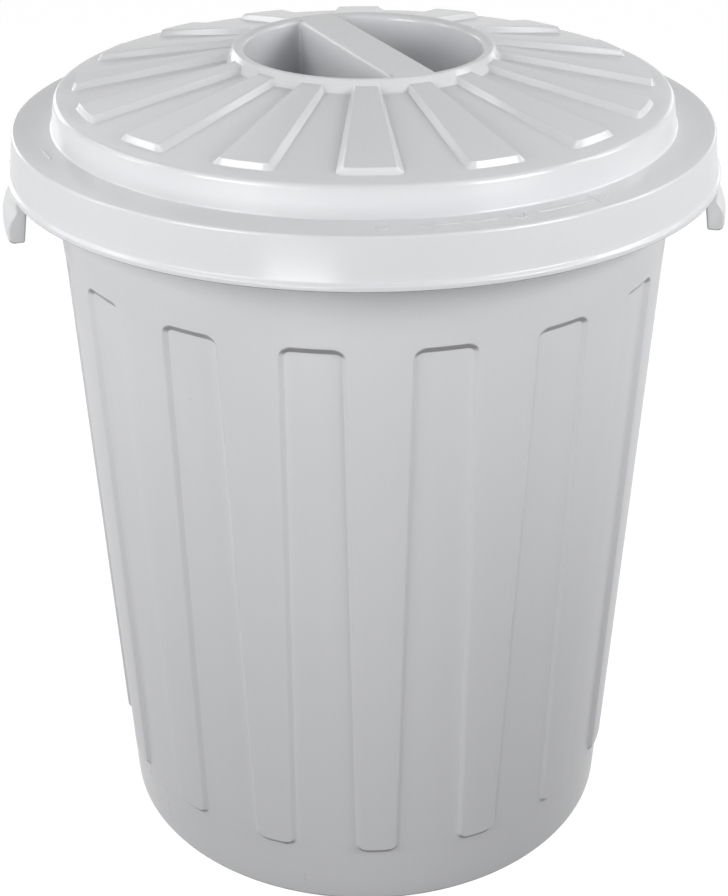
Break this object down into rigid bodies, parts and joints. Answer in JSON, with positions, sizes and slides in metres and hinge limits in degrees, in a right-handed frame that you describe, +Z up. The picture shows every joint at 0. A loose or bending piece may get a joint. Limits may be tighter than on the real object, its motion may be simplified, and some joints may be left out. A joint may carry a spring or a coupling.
{
  "type": "dustbin with lid",
  "caption": "Round grey plastic dustbin with vertical strips, a ribbed turn-and-lift lid with a recessed bar handle, and two side grips.",
  "frame": {"origin": "middle of the base, on the floor the bin stands on", "axes": "+Z up along the bin's own axis, -Y towards the front, the two side grips on +X and -X"},
  "size_m": [0.5126, 0.5014, 0.6053],
  "materials": {
    "tub_grey": "satin",
    "lid_grey": "satin",
    "grip_grey": "satin"
  },
  "bodies": {
    "tub_body": {"tub": "tub_grey", "grip_left": "grip_grey", "grip_right": "grip_grey"},
    "lid_body": {"lid": "lid_grey"}
  },
  "joints": [
    {"name": "lid_lift", "type": "slide", "parent": "tub_body", "child": "lid_body", "axis": [0, 0, 1], "range_m": [0, 0.12]}
  ]
}
